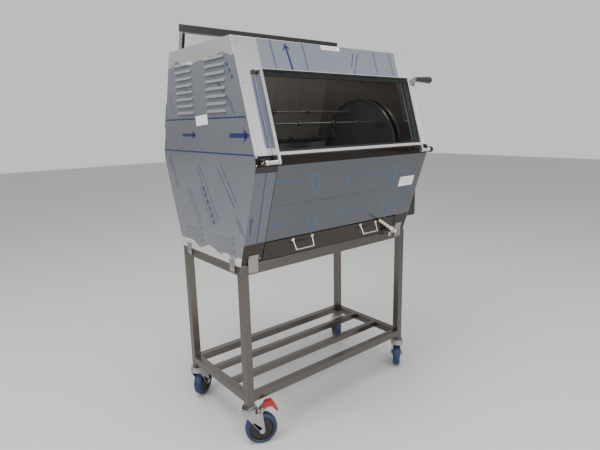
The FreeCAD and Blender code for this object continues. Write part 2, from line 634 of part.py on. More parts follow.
# ---------------- drip tray ----------------
def make_tray():
    w, t = tray_half_w, tray_wall
    y0, y1 = -half_base - 2.0, tray_back_y
    pan = box(-w, y0, tray_z, w, y1, tray_z + tray_side_h)
    pan = pan.cut(box(-w + t, y0 - 1, tray_z + t, w - t, y1 - t, tray_z + tray_side_h + 1))
    lip = front_low.slab(-seam_x + 4, seam_x - 4, tray_front_s, tray_front_end, -skin_t, 0)
    keep = prism_x([front_low.yz(tray_front_s, -skin_t), front_low.yz(front_low.length + 20, -skin_t),
                    (half_base + 80, base_z - 20), (half_base + 80, front_low.yz(tray_front_s, 0)[1])], -seam_x, seam_x)
    y_front = -half_base
    outlet = rod(V(valve_x, y_front - 30, tray_z + 10), V(valve_x, y_front + 20, tray_z + 10), 16.0)
    save("drip_tray", fuse([pan.common(keep), lip]).cut(outlet))
    handles = []
    for cx in (-handle_x, handle_x):
        half = handle_span / 2
        a = front_low.point(cx - half, tray_front_s + 10, 0)
        b = front_low.point(cx - half + 4, tray_front_s + 39, handle_out)
        c = front_low.point(cx + half - 4, tray_front_s + 39, handle_out)
        d = front_low.point(cx + half, tray_front_s + 10, 0)
        balls = [Part.makeSphere(wire_d / 2, p) for p in (b, c)]
        lift = front_low.normal() * 1.2
        wires = [rod(a + lift, b, wire_d), rod(b, c, wire_d), rod(c, d + lift, wire_d)]
        pads = [rod(p, p + front_low.normal() * 2.0, 14.0) for p in (a, d)]
        shape = fuse(wires + balls + pads)
        under = front_low.slab(-seam_x, seam_x, 200, front_low.length, -20, 0)
        handles.append(shape.cut(under))
    save("tray_handles", handles)
    vx, vz = valve_x, tray_z + 10.0
    y_spout = y_front - 25.0
    pipe = rod(V(vx, y_front + 10, vz), V(vx, y_spout + 1, vz), 16.0)
    body = rod(V(vx, y_spout + 13, vz), V(vx, y_spout - 13, vz), 26.0)
    spout = rod(V(vx, y_spout, vz), V(vx, y_spout, vz - 26), 18.0)
    stem = rod(V(vx, y_spout - 17, vz), V(vx, y_spout - 12, vz), 9.0)
    bores = [rod(V(vx, y_front + 11, vz), V(vx, y_spout + 2, vz), 9.0),
             rod(V(vx, y_spout, vz - 2), V(vx, y_spout, vz - 27), 11.0)]
    save("drain_valve", cut(fuse([pipe, body, spout, stem]), bores))
    ang = math.radians(lever_angle)
    y_arm = y_spout - 30.0
    along = V(math.cos(ang), 0, math.sin(ang))
    tip = V(vx, y_arm, vz) + along * lever_len
    hub = rod(V(vx, y_spout - 17 - part_gap, vz), V(vx, y_arm - 5.0, vz), 18.0)
    arm = rod(V(vx, y_arm, vz), tip, 8.0)
    sleeve = rod(V(vx, y_arm, vz) + along * 34.0, tip, 12.0)
    save("drain_valve_lever", fuse([hub, arm, sleeve]))
    yr = half_base - 15.0
    runners = [box(min(s * (w - 25), s * (w - 1)), -yr, base_z + skin_t,
                   max(s * (w - 25), s * (w - 1)), yr, tray_z - part_gap) for s in (-1, 1)]
    guides = [box(min(s * (w + 0.5), s * (w + 10)), -yr, base_z + skin_t,
                  max(s * (w + 0.5), s * (w + 10)), yr, tray_z + 20) for s in (-1, 1)]
    save("tray_runners", runners + guides)


# ---------------- controls, upstand, buffers, screws ----------------
def make_controls():
    x0, x1 = side_x, side_x + ctrl_out
    y0, y1, z0, z1 = ctrl_y0, ctrl_y0 + ctrl_len, ctrl_z0, ctrl_z0 + ctrl_h
    case = box(x0, y0, z0, x1, y1, z1).cut(box(x0 - 1, y0 + 2, z0 + 2, x1 - 2, y1 - 2, z1 - 2))
    zk = z0 + ctrl_h / 2
    knobs = (("thermostat_knob", y0 + 60.0), ("timer_knob", y0 + 130.0))
    for name, y in knobs:
        case = case.cut(rod(V(x1 - 5, y, zk), V(x1 + 1, y, zk), 8.0 + 2 * run_fit))
        skirt = cone(V(x1 + part_gap, y, zk), V(x1 + 20, y, zk), knob_d, knob_d - 6)
        bar = box(x1 + 18, y - 3.5, zk - 16, x1 + 25, y + 3.5, zk + 16)
        spindle = rod(V(x1 - 14, y, zk), V(x1 + 5, y, zk), 8.0)
        save(name, fuse([skirt, bar, spindle]))
    ys = y0 + 195.0
    case = case.cut(box(x1 - 5, ys - 11.3, zk - 17.0, x1 + 1, ys + 11.3, zk + 17.0))
    rocker = [(x1 - 8.0, zk - 10.0), (x1 + 1.5, zk - 14.5), (x1 + 2.0, zk), (x1 + 5.5, zk + 14.5),
              (x1 - 8.0, zk + 10.0)]
    pts = [V(x, ys - 11.0, z) for x, z in rocker]
    save("rotor_switch", Part.Face(Part.makePolygon(pts + pts[:1])).extrude(V(0, 22.0, 0)))
    gx, gz = x0 + ctrl_out / 2, z0 + 32.0
    case = case.cut(rod(V(gx, y1 - 3, gz), V(gx, y1 + 1, gz), gland_d))
    save("control_box", case)
    gland = fuse([rod(V(gx, y1, gz), V(gx, y1 + 18, gz), gland_d + 8.0),
                  rod(V(gx, y1 - 12, gz), V(gx, y1, gz), gland_d)])
    save("cable_gland", gland.cut(rod(V(gx, y1 - 14, gz), V(gx, y1 + 20, gz), cable_d)))


def make_upstand():
    w, h = upstand_half_w, upstand_h
    sheet = rear_up.slab(-w, w, -h, 36, 0, skin_t)
    folds = [rear_up.slab(min(s * w, s * (w - skin_t)), max(s * w, s * (w - skin_t)), -h, -8, -upstand_d, 0)
             for s in (-1, 1)]
    folds.append(rear_up.slab(-w, w, -h, -h + skin_t, -upstand_d, 0))
    liner = rear_up.slab(-w + 16, w - 16, -h + cap_h + 4, -10, -upstand_d, -upstand_d + 1.0)
    save("rear_upstand", [fuse([sheet] + folds), liner])
    gap, t = part_gap, 2.5
    outer = rear_up.slab(-w - gap - t, w + gap + t, -h - gap - t, -h + cap_h, -upstand_d - gap - t,
                         skin_t + gap + t)
    inner = rear_up.slab(-w - gap, w + gap, -h - gap, -h + cap_h + 1, -upstand_d - gap, skin_t + gap)
    save("upstand_cap", cut(outer, [inner]))


def make_buffers():
    pads = []
    for s in (-1, 1):
        x0, x1 = sorted((s * (side_x - 22), s * (side_x - 2)))
        pads.append(rear_up.slab(x0, x1, 204, 304, 0, buffer_t))
    save("rear_buffers", pads)


def screw(at, normal, d=8.0, h=2.4):
    return cone(at, at + normal * h, d, d * 0.6)


def make_screws():
    items = []
    n = front_up.normal()
    for s in (-1, 1):
        outer, inner = side_x - 12.5, post_inner + 16
        spots = [(inner, 22), (inner, fascia_len - 10)]
        spots += [(outer, ss) for ss in (20, fascia_len - 7, fascia_len + 37, fascia_len + 160, slope_up - 24)]
        for x, ss in spots:
            items.append(screw(front_up.point(s * x, ss, 0), n))
        for z in (band_z0 + 6, band_z1 - 5):
            items.append(screw(V(s * (side_x - 5.5), -half_mid - 2.0, z), V(0, -1, 0), 7.0))
        items.append(screw(front_low.point(s * (seam_x + 10), tray_front_end - 18, 0), front_low.normal(), 7.0))
        for sy in (-1, 1):
            hx = stand_w / 2 + tab_t
            for dy in (-8.0, 8.0):
                items.append(screw(V(s * hx, sy * side_tab_y + dy, rail_z0 + 16), V(s, 0, 0), 6.5))
            items.append(screw(V(s * side_x, sy * (side_tab_y + 10), base_z + 26), V(s, 0, 0), 6.5))
            for dx in (-10.0, 10.0):
                items.append(screw(V(s * front_tab_x + dx, sy * (stand_d / 2 + tab_t), rail_z0 + 16), V(0, sy, 0), 6.5))
    roof_x = side_x - 75.0
    for i in range(6):
        items.append(screw(V(-roof_x + i * roof_x / 2.5, half_top - 12.0, top_z), V(0, 0, 1), 7.0))
    save("screws", items)


make_stand()
make_tabs()
make_castors()
make_skin()
make_hinges()
make_door()
make_chamber()
make_rotor()
make_tray()
make_controls()
make_upstand()
make_buffers()
make_screws()
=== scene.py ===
"""Looks of a rotisserie oven on a castor stand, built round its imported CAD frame."""
import json
import logging
import math
from dataclasses import dataclass, field
from enum import Enum

import bmesh
import bpy
from mathutils import Matrix, Vector


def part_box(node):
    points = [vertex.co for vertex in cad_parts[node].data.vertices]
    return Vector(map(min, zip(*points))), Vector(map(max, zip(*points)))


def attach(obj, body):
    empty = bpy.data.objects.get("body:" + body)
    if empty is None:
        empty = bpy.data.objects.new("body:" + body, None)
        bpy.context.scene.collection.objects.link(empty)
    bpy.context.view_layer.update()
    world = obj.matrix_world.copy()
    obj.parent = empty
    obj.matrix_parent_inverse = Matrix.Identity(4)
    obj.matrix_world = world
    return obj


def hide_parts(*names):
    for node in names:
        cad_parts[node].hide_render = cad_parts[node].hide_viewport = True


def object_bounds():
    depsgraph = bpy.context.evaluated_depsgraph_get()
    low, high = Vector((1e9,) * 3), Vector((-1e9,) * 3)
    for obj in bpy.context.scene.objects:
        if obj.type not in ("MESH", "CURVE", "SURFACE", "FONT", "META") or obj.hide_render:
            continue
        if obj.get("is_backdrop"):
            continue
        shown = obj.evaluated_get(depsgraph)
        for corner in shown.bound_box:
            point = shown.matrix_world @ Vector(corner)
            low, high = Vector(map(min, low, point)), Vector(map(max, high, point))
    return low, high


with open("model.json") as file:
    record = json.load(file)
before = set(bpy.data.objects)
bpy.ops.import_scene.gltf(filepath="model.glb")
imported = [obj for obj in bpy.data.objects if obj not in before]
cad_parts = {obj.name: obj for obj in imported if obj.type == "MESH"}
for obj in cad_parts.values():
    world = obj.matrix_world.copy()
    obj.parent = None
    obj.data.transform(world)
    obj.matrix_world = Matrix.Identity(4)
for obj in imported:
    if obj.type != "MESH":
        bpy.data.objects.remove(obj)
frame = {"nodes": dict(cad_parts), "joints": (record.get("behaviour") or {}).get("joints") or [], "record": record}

LOG = logging.getLogger("oven")
MM = 0.001
LIFT = 0.25 * MM


# ------------------------------------------------------------------ sizes
def note_size(label: str, store: dict) -> None:
    """Args:
        label: Name of the moment, such as "start".
        store: The dict that gathers each moment's box.
    """
    low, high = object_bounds()
    store[label] = [[float(v) for v in low], [float(v) for v in high]]


# ------------------------------------------------------------------ node group helpers
class GroupBuilder:
    """Small helper that makes one reusable shader node group."""

    def __init__(self, name: str) -> None:
        """Start an empty group.

        Args:
            name: The group's name.
        """
        self.tree = bpy.data.node_groups.new(name, "ShaderNodeTree")
        self.inp = self.tree.nodes.new("NodeGroupInput")
        self.out = self.tree.nodes.new("NodeGroupOutput")

    def socket(self, name: str, way: str, kind: str = "NodeSocketFloat", value=None):
        """Add a socket to the group's interface.

        Args:
            name: Socket name.
            way: "INPUT" or "OUTPUT".
            kind: Socket type name.
            value: Default value of an input.

        Returns:
            The new interface socket.
        """
        sock = self.tree.interface.new_socket(name=name, in_out=way, socket_type=kind)
        if value is not None:
            sock.default_value = value
        return sock

    def node(self, kind: str, **inputs):
        """Add a node and set its constant inputs.

        Args:
            kind: Node type name.
            **inputs: Constant values by input name, with _ for a space.

        Returns:
            The new node.
        """
        made = self.tree.nodes.new(kind)
        for key, value in inputs.items():
            made.inputs[key.replace("_", " ")].default_value = value
        return made

    def math(self, operation: str, a, b=None, clamp: bool = False):
        """Add a math node.

        Args:
            operation: Blender math operation.
            a: A socket or a number.
            b: A socket or a number, or None.
            clamp: Whether the result is held to 0..1.

        Returns:
            The node's output socket.
        """
        made = self.tree.nodes.new("ShaderNodeMath")
        made.operation = operation
        made.use_clamp = clamp
        for i, value in enumerate((a, b)):
            if value is None:
                continue
            if isinstance(value, (int, float)):
                made.inputs[i].default_value = value
            else:
                self.link(value, made.inputs[i])
        return made.outputs[0]

    def link(self, a, b) -> None:
        """Join two sockets."""
        self.tree.links.new(a, b)


def grain_group() -> bpy.types.NodeTree:
    """Brushed grain: long streaks in roughness and height along one direction."""
    g = GroupBuilder("BrushedGrain")
    g.socket("Vector", "INPUT", "NodeSocketVector")
    g.socket("Stretch", "INPUT", "NodeSocketVector", (8.0, 400.0, 400.0))
    g.socket("Roughness", "INPUT", "NodeSocketFloat", 0.3)
    g.socket("Depth", "INPUT", "NodeSocketFloat", 0.15)
    g.socket("Roughness", "OUTPUT")
    g.socket("Height", "OUTPUT")
    g.socket("Tone", "OUTPUT")
    scale = g.tree.nodes.new("ShaderNodeVectorMath")
    scale.operation = "MULTIPLY"
    g.link(g.inp.outputs["Vector"], scale.inputs[0])
    g.link(g.inp.outputs["Stretch"], scale.inputs[1])
    streak = g.node("ShaderNodeTexNoise", Scale=1.0, Detail=3.0, Roughness=0.6)
    g.link(scale.outputs[0], streak.inputs["Vector"])
    cloud = g.node("ShaderNodeTexNoise", Scale=7.0, Detail=4.0, Roughness=0.55)
    g.link(g.inp.outputs["Vector"], cloud.inputs["Vector"])
    fine = g.math("SUBTRACT", streak.outputs["Fac"], 0.5)
    wide = g.math("SUBTRACT", cloud.outputs["Fac"], 0.5)
    both = g.math("ADD", fine, g.math("MULTIPLY", wide, 0.8))
    g.link(g.math("ADD", g.inp.outputs["Roughness"], g.math("MULTIPLY", both, g.inp.outputs["Depth"]), True),
           g.out.inputs["Roughness"])
    g.link(streak.outputs["Fac"], g.out.inputs["Height"])
    g.link(g.math("ADD", 0.5, both, True), g.out.inputs["Tone"])
    return g.tree


def film_group() -> bpy.types.NodeTree:
    """Protective film: soft tone drift, and faint lift where the film has air under it."""
    g = GroupBuilder("FilmSurface")
    g.socket("Vector", "INPUT", "NodeSocketVector")
    g.socket("Tone", "OUTPUT")
    g.socket("Height", "OUTPUT")
    drift = g.node("ShaderNodeTexNoise", Scale=2.2, Detail=3.0, Roughness=0.5)
    pucker = g.node("ShaderNodeTexNoise", Scale=26.0, Detail=3.0, Roughness=0.55, Distortion=1.4)
    specks = g.node("ShaderNodeTexVoronoi", Scale=150.0)
    for made in (drift, pucker, specks):
        g.link(g.inp.outputs["Vector"], made.inputs["Vector"])
    bubble = g.math("LESS_THAN", specks.outputs["Distance"], 0.10)
    g.link(drift.outputs["Fac"], g.out.inputs["Tone"])
    g.link(g.math("ADD", g.math("MULTIPLY", pucker.outputs["Fac"], 0.8), g.math("MULTIPLY", bubble, 0.10)),
           g.out.inputs["Height"])
    return g.tree


def peel_group() -> bpy.types.NodeTree:
    """Where the film still covers the steel: between two heights, with torn edges."""
    g = GroupBuilder("FilmPeel")
    g.socket("Vector", "INPUT", "NodeSocketVector")
    g.socket("Low", "INPUT", "NodeSocketFloat", 0.0)
    g.socket("High", "INPUT", "NodeSocketFloat", 2.0)
    g.socket("Ragged", "INPUT", "NodeSocketFloat", 0.03)
    g.socket("Covered", "OUTPUT")
    parts = g.tree.nodes.new("ShaderNodeSeparateXYZ")
    g.link(g.inp.outputs["Vector"], parts.inputs[0])
    tear = g.node("ShaderNodeTexNoise", Scale=9.0, Detail=2.0, Roughness=0.45)
    g.link(g.inp.outputs["Vector"], tear.inputs["Vector"])
    shift = g.math("MULTIPLY", g.math("SUBTRACT", tear.outputs["Fac"], 0.5), g.inp.outputs["Ragged"])
    level = g.math("ADD", parts.outputs["Z"], shift)
    g.link(g.math("MULTIPLY", g.math("GREATER_THAN", level, g.inp.outputs["Low"]),
                  g.math("LESS_THAN", level, g.inp.outputs["High"])), g.out.inputs["Covered"])
    return g.tree


def smudge_group() -> bpy.types.NodeTree:
    """Hand marks and dust: a small, uneven change in roughness and tone."""
    g = GroupBuilder("Smudges")
    g.socket("Vector", "INPUT", "NodeSocketVector")
    g.socket("Roughness", "INPUT", "NodeSocketFloat", 0.3)
    g.socket("Amount", "INPUT", "NodeSocketFloat", 0.1)
    g.socket("Roughness", "OUTPUT")
    g.socket("Mark", "OUTPUT")
    wipe = g.node("ShaderNodeTexNoise", Scale=11.0, Detail=5.0, Roughness=0.65, Distortion=0.8)
    g.link(g.inp.outputs["Vector"], wipe.inputs["Vector"])
    mark = g.math("SUBTRACT", wipe.outputs["Fac"], 0.5)
    g.link(g.math("ADD", g.inp.outputs["Roughness"], g.math("MULTIPLY", mark, g.inp.outputs["Amount"]), True),
           g.out.inputs["Roughness"])
    g.link(g.math("ADD", 0.5, mark, True), g.out.inputs["Mark"])
    return g.tree


# ------------------------------------------------------------------ finishes
class Grain(Enum):
    """Direction of a brushed grain, as the stretch of its noise on each axis."""

    NONE = (0.0, 0.0, 0.0)
    ALONG_X = (6.0, 420.0, 420.0)
    ALONG_Y = (420.0, 6.0, 420.0)
    ALONG_Z = (420.0, 420.0, 6.0)


@dataclass(frozen=True)
class Finish:
    """One plain finish.

    Attributes:
        colour: Base colour, linear RGB.
        metallic: 0 or 1, or between for a film over metal.
        rough: Mean roughness.
        spread: How much the roughness wanders.
        grain: Brushed direction.
        bump: Height of the fine relief.
        coat: Weight of a clear coat.
        slot: The record's material slot; not used.
    """

    colour: tuple
    metallic: float = 1.0
    rough: float = 0.3
    spread: float = 0.12
    grain: Grain = Grain.NONE
    bump: float = 0.0
    coat: float = 0.0
    slot: str = "bare_steel"


# Stand tube steel darkened far below real stainless: painted dark reflection of the floor.
TUBE_PAINTED_REFLECTION = (0.150, 0.136, 0.124)
DARK_STEEL = (0.072, 0.063, 0.058)
BARE_STEEL = (0.92, 0.89, 0.86)

FINISHES = {
    "bare_x": Finish((0.60, 0.59, 0.57), rough=0.30, grain=Grain.ALONG_X, bump=0.06),
    "bare_y": Finish((0.64, 0.62, 0.60), rough=0.34, grain=Grain.ALONG_Y, bump=0.06),
    "tube_x": Finish(TUBE_PAINTED_REFLECTION, rough=0.29, grain=Grain.ALONG_X, bump=0.10, slot="stand_steel"),
    "tube_y": Finish(TUBE_PAINTED_REFLECTION, rough=0.29, grain=Grain.ALONG_Y, bump=0.10, slot="stand_steel"),
    "tube_z": Finish(TUBE_PAINTED_REFLECTION, rough=0.29, grain=Grain.ALONG_Z, bump=0.10, slot="stand_steel"),
    "tab_steel": Finish((0.36, 0.34, 0.32), rough=0.30, grain=Grain.ALONG_Z, bump=0.05),
    "arm_steel": Finish((0.34, 0.33, 0.32), rough=0.22, spread=0.1, slot="polished_steel"),
    # Front band: polished steel given a near-black colour, a painted dark reflection.
    "mirror_painted_dark_reflection": Finish((0.075, 0.065, 0.058), rough=0.05, spread=0.04, slot="polished_steel"),
    "post_mirror": Finish((0.97, 0.965, 0.96), rough=0.07, spread=0.10, slot="polished_steel"),
    "inner_bright": Finish((0.42, 0.39, 0.37), rough=0.16, spread=0.12, slot="inner_steel"),
    "satin_bright": Finish((0.80, 0.79, 0.78), rough=0.20, spread=0.08, slot="polished_steel"),
    "dark_steel": Finish(DARK_STEEL, rough=0.22, grain=Grain.ALONG_X, bump=0.05),
    "inner": Finish((0.30, 0.265, 0.245), metallic=0.7, rough=0.34, grain=Grain.ALONG_Z, bump=0.05,
                    slot="inner_steel"),
    "rotor": Finish((0.075, 0.075, 0.078), metallic=0.5, rough=0.38, spread=0.16, slot="rotor_steel"),
    "zinc": Finish((0.40, 0.40, 0.39), rough=0.24, spread=0.16, slot="zinc"),
    "tyre": Finish((0.005, 0.022, 0.078), 0.0, 0.46, 0.12, slot="tyre_blue"),
    "nylon": Finish((0.010, 0.010, 0.011), 0.0, 0.42, 0.10, slot="tyre_blue"),
    "red": Finish((0.30, 0.006, 0.010), 0.0, 0.32, 0.08, coat=0.2, slot="red_plastic"),
    "black": Finish((0.010, 0.010, 0.011), 0.0, 0.30, 0.10, coat=0.3, slot="black_plastic"),
    "powder": Finish((0.020, 0.020, 0.021), 0.0, 0.34, 0.08, bump=0.04, slot="black_paint"),
    "rubber": Finish((0.014, 0.014, 0.014), 0.0, 0.62, 0.08, slot="seal_black"),
    "cream": Finish((0.62, 0.55, 0.44), 0.0, 0.38, 0.08, slot="cream_plastic"),
    "white": Finish((0.80, 0.80, 0.78), 0.0, 0.35, 0.06, slot="cream_plastic"),
    "heater": Finish((0.10, 0.085, 0.075), 0.6, 0.50, 0.15, slot="heater_metal"),
    "motor": Finish((0.20, 0.21, 0.23), 0.0, 0.42, 0.08, slot="motor_grey"),
    "ink": Finish((0.008, 0.020, 0.092), 0.0, 0.42, 0.04, slot="film_steel"),
    "ink_light": Finish((0.020, 0.110, 0.300), 0.0, 0.42, 0.04, slot="film_steel"),
    "ink_faint": Finish((0.040, 0.058, 0.130), 0.2, 0.40, 0.04, slot="film_steel"),
    "paper": Finish((0.78, 0.77, 0.76), 0.0, 0.55, 0.05, slot="film_steel"),
    "paper_mark": Finish((0.46, 0.36, 0.35), 0.0, 0.60, 0.05, slot="film_steel"),
}


@dataclass(frozen=True)
class Film:
    """A sheet's protective film, and the band of heights that it still covers.

    Attributes:
        colour: Middle tone of the film.
        low: Height of its lower edge, in metres.
        high: Height of its upper edge, in metres.
        ragged: How far the torn edge wanders, in metres.
        bare: Colour of the steel where the film is gone.
    """

    colour: tuple
    low: float = 0.0
    high: float = 3.0
    ragged: float = 0.0
    bare: tuple = BARE_STEEL


FILMS = {
    "film_side": Film((0.205, 0.216, 0.243), 0.748, 1.432, 0.085),
    "film_front": Film((0.080, 0.091, 0.101)),
    "film_corner": Film((0.115, 0.128, 0.147), 0.796, 1.052, 0.012, DARK_STEEL),
    "film_bright": Film((0.225, 0.243, 0.290)),
}
FILM_LIGHTER = 1.14
FILM_DARKER = 0.86


class Shop:
    """Makes each material once, from shared node groups."""

    def __init__(self) -> None:
        """Build the shared groups."""
        self.grain = grain_group()
        self.film = film_group()
        self.peel = peel_group()
        self.smudge = smudge_group()
        self.made: dict = {}

    @staticmethod
    def _start(name: str) -> tuple:
        """Start a material.

        Args:
            name: Name of the material.

        Returns:
            The material, its node tree, its surface node and a coordinate node.
        """
        mat = bpy.data.materials.new(name)
        mat.use_nodes = True
        tree = mat.node_tree
        return mat, tree, tree.nodes["Principled BSDF"], tree.nodes.new("ShaderNodeTexCoord")

    @staticmethod
    def _use(tree: bpy.types.NodeTree, group: bpy.types.NodeTree) -> bpy.types.Node:
        """Add a shared group to a material and return its node."""
        made = tree.nodes.new("ShaderNodeGroup")
        made.node_tree = group
        return made

    def get(self, name: str) -> bpy.types.Material:
        """Return the material of a finish, making it on first use.

        Args:
            name: A key of FINISHES or FILMS, or "glass" or "lamp".

        Returns:
            The material.
        """
        if name not in self.made:
            if name in FILMS:
                self.made[name] = self._film(name, FILMS[name])
            elif name == "glass":
                self.made[name] = self._glass()
            elif name == "lamp":
                self.made[name] = self._lamp()
            else:
                self.made[name] = self._plain(name, FINISHES[name])
        return self.made[name]

    def _plain(self, name: str, fin: Finish) -> bpy.types.Material:
        """Make a plain or brushed material from a finish."""
        mat, tree, bsdf, coord = self._start(name)
        bsdf.inputs["Base Color"].default_value = (*fin.colour, 1.0)
        bsdf.inputs["Metallic"].default_value = fin.metallic
        bsdf.inputs["Coat Weight"].default_value = fin.coat
        bsdf.inputs["Coat Roughness"].default_value = 0.2
        brushed = fin.grain is not Grain.NONE
        made = self._use(tree, self.grain if brushed else self.smudge)
        tree.links.new(coord.outputs["Object"], made.inputs["Vector"])
        made.inputs["Roughness"].default_value = fin.rough
        made.inputs["Depth" if brushed else "Amount"].default_value = fin.spread
        if brushed:
            made.inputs["Stretch"].default_value = fin.grain.value
        tree.links.new(made.outputs["Roughness"], bsdf.inputs["Roughness"])
        if fin.bump:
            bump = tree.nodes.new("ShaderNodeBump")
            bump.inputs["Strength"].default_value = fin.bump
            bump.inputs["Distance"].default_value = 0.0004
            tree.links.new(made.outputs["Height" if brushed else "Mark"], bump.inputs["Height"])
            tree.links.new(bump.outputs[0], bsdf.inputs["Normal"])
        return mat

    def _film(self, name: str, film: Film) -> bpy.types.Material:
        """Make steel under a protective film whose edges are torn back.

        Args:
            name: Name of the material.
            film: The film's colour and the heights that it covers.

        Returns:
            The material.
        """
        mat, tree, bsdf, coord = self._start(name)
        sheet = self._use(tree, self.film)
        peel = self._use(tree, self.peel)
        grain = self._use(tree, self.grain)
        for made in (sheet, peel, grain):
            tree.links.new(coord.outputs["Object"], made.inputs["Vector"])
        peel.inputs["Low"].default_value = film.low
        peel.inputs["High"].default_value = film.high
        peel.inputs["Ragged"].default_value = film.ragged
        grain.inputs["Stretch"].default_value = Grain.ALONG_Y.value
        grain.inputs["Roughness"].default_value = 0.32
        grain.inputs["Depth"].default_value = 0.1
        tone = tree.nodes.new("ShaderNodeMix")
        tone.data_type = "RGBA"
        tone.inputs["A"].default_value = (*[c * FILM_DARKER for c in film.colour], 1.0)
        tone.inputs["B"].default_value = (*[c * FILM_LIGHTER for c in film.colour], 1.0)
        tree.links.new(sheet.outputs["Tone"], tone.inputs["Factor"])
        skin = tree.nodes.new("ShaderNodeMix")
        skin.data_type = "RGBA"
        skin.inputs["A"].default_value = (*film.bare, 1.0)
        tree.links.new(tone.outputs["Result"], skin.inputs["B"])
        tree.links.new(peel.outputs["Covered"], skin.inputs["Factor"])
        tree.links.new(skin.outputs["Result"], bsdf.inputs["Base Color"])
        changes = (("Metallic", 1.0, 0.45), ("Roughness", 0.34, 0.21), ("Coat Weight", 0.0, 0.35))
        for socket, on_steel, on_film in changes:
            mix = tree.nodes.new("ShaderNodeMix")
            mix.inputs["A"].default_value = on_steel
            mix.inputs["B"].default_value = on_film
            tree.links.new(peel.outputs["Covered"], mix.inputs["Factor"])
            tree.links.new(mix.outputs["Result"], bsdf.inputs[socket])
        bsdf.inputs["Coat Roughness"].default_value = 0.16
        bump = tree.nodes.new("ShaderNodeBump")
        bump.inputs["Strength"].default_value = 0.10
        bump.inputs["Distance"].default_value = 0.0006
        tree.links.new(sheet.outputs["Height"], bump.inputs["Height"])
        tree.links.new(bump.outputs[0], bsdf.inputs["Normal"])
        return mat

    def _glass(self) -> bpy.types.Material:
        """Make clear glass that reflects at its front faces only and lets light through."""
        mat, tree, bsdf, _ = self._start("glass")
        bsdf.inputs["Base Color"].default_value = (0.02, 0.02, 0.02, 1.0)
        bsdf.inputs["Metallic"].default_value = 0.0
        bsdf.inputs["Roughness"].default_value = 0.01
        bsdf.inputs["Specular IOR Level"].default_value = 0.9
        clear = tree.nodes.new("ShaderNodeBsdfTransparent")
        clear.inputs[0].default_value = (0.90, 0.93, 0.92, 1.0)
        edge = tree.nodes.new("ShaderNodeFresnel")
        edge.inputs["IOR"].default_value = 1.5
        path = tree.nodes.new("ShaderNodeLightPath")
        lit = tree.nodes.new("ShaderNodeMath")
        lit.operation = "SUBTRACT"
        lit.use_clamp = True
        mix = tree.nodes.new("ShaderNodeMixShader")
        out = tree.nodes["Material Output"]
        geo = tree.nodes.new("ShaderNodeNewGeometry")
        hidden = tree.nodes.new("ShaderNodeMath")
        hidden.operation = "MAXIMUM"
        tree.links.new(path.outputs["Is Shadow Ray"], hidden.inputs[0])
        tree.links.new(geo.outputs["Backfacing"], hidden.inputs[1])
        tree.links.new(edge.outputs[0], lit.inputs[0])
        tree.links.new(hidden.outputs[0], lit.inputs[1])
        tree.links.new(lit.outputs[0], mix.inputs[0])
        tree.links.new(clear.outputs[0], mix.inputs[1])
        tree.links.new(bsdf.outputs[0], mix.inputs[2])
        tree.links.new(mix.outputs[0], out.inputs["Surface"])
        return mat

    def _lamp(self) -> bpy.types.Material:
        """Make the lamp's pale cover."""
        mat, _, bsdf, _ = self._start("lamp")
        bsdf.inputs["Base Color"].default_value = (0.75, 0.74, 0.70, 1.0)
        bsdf.inputs["Roughness"].default_value = 0.35
        return mat


# ------------------------------------------------------------------ surfaces and printed marks
@dataclass(frozen=True)
class Face3:
    """A flat face of the cabinet with its own two directions.

    Attributes:
        origin: Point where u = v = 0.
        u: Unit direction of the first coordinate.
        v: Unit direction of the second coordinate.
        n: Outward unit normal.
    """

    origin: Vector
    u: Vector
    v: Vector
    n: Vector

    def at(self, u: float, v: float, lift: float = LIFT) -> Vector:
        """Return the point at (u, v), in millimetres, lifted off the face by lift metres."""
        return self.origin + self.u * (u * MM) + self.v * (v * MM) + self.n * lift


class Cabinet:
    """The cabinet's faces, read from the CAD nodes' boxes."""

    def __init__(self) -> None:
        """Work the faces out from the roof, band and base boxes."""
        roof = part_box("roof_panel")
        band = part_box("front_band")
        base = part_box("base_pan")
        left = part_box("left_side_panel")
        x_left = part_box("stand_legs")[0].x
        top = Vector((0, roof[0].y, roof[1].z))
        mid_high = Vector((0, band[0].y, band[1].z))
        mid_low = Vector((0, band[0].y, band[0].z))
        low = Vector((0, base[0].y, base[0].z))
        self.upper = self._slope(top, mid_high)
        self.lower = self._slope(mid_low, low)
        self.left = Face3(Vector((x_left, 0, 0)), Vector((0, 1, 0)), Vector((0, 0, 1)), Vector((-1, 0, 0)))
        self.right = Face3(Vector((-x_left, 0, 0)), Vector((0, 1, 0)), Vector((0, 0, 1)), Vector((1, 0, 0)))
        self.depth = left[1].y

    @staticmethod
    def _slope(a: Vector, b: Vector) -> Face3:
        """Return the sloping face that runs down from a to b, with its normal out of the front."""
        down = (b - a).normalized()
        x = Vector((1, 0, 0))
        out = down.cross(x)
        if out.y > 0:
            out = -out
        return Face3(a, x, down, out)


